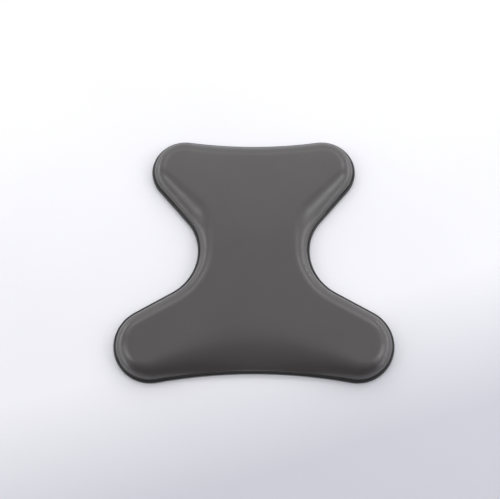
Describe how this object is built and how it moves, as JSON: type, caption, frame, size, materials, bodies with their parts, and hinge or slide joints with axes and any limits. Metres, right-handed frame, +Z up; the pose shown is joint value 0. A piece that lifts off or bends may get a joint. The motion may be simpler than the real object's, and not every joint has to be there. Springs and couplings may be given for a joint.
{
  "type": "chair armrest pad",
  "caption": "Hourglass-shaped moulded polyurethane armrest pad with rolled edges on a plywood core and black tray, with threaded inserts for the chair's bracket.",
  "frame": {"origin": "middle of the pad's bounding box, on the surface that the tray's foot ring rests on", "axes": "+X to the side across the two lobes, +Y towards the narrower pair of lobes, +Z up through the cushion"},
  "size_m": [0.28, 0.263, 0.0207],
  "materials": {
    "cushion_skin": "satin",
    "tray_plastic": "satin",
    "core_plywood": "matte",
    "nut_zinc": "satin",
    "screw_black": "satin"
  },
  "bodies": {
    "root": {"base_shell": "tray_plastic", "core_board": "core_plywood", "foam_pad": "cushion_skin", "tee_nut_1": "nut_zinc", "tee_nut_2": "nut_zinc", "tee_nut_3": "nut_zinc", "tee_nut_4": "nut_zinc", "shell_screw_1": "screw_black", "shell_screw_2": "screw_black", "shell_screw_3": "screw_black", "shell_screw_4": "screw_black", "shell_screw_5": "screw_black", "shell_screw_6": "screw_black", "shell_screw_7": "screw_black", "shell_screw_8": "screw_black", "shell_screw_9": "screw_black", "shell_screw_10": "screw_black"}
  },
  "joints": []
}
